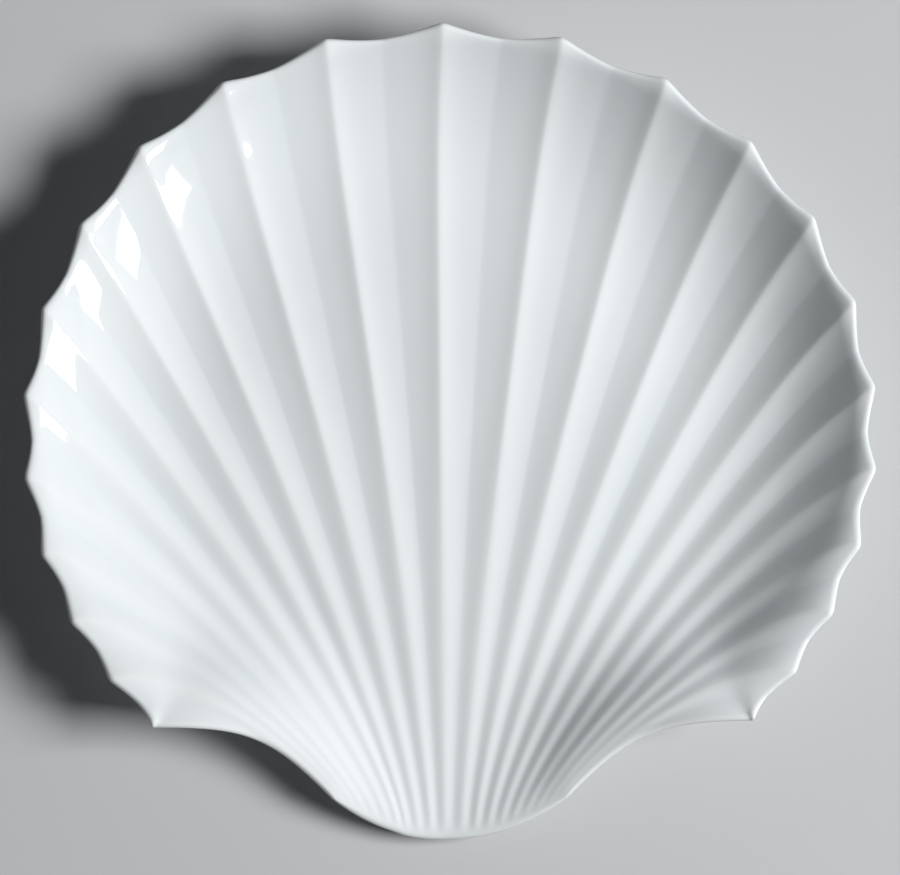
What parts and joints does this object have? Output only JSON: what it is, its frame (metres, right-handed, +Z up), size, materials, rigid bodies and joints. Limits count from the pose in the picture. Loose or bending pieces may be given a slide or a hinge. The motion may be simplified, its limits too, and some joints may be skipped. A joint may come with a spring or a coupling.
{
  "type": "chop plate",
  "caption": "Scallop-shell serving plate: one glazed casting with flutes fanning from a narrow base to a scalloped, upturned rim, on a round foot ring.",
  "frame": {"origin": "under the middle of the plate, on the surface its foot ring stands on", "axes": "+Z up out of the dish, +Y from the narrow base of the fan to the opposite rim, +X across; the plane x = 0 is the mirror plane"},
  "size_m": [0.3196, 0.3066, 0.0422],
  "materials": {
    "glaze": "cool white gloss glaze"
  },
  "bodies": {
    "root": {"shell_plate": "glaze"}
  },
  "joints": []
}
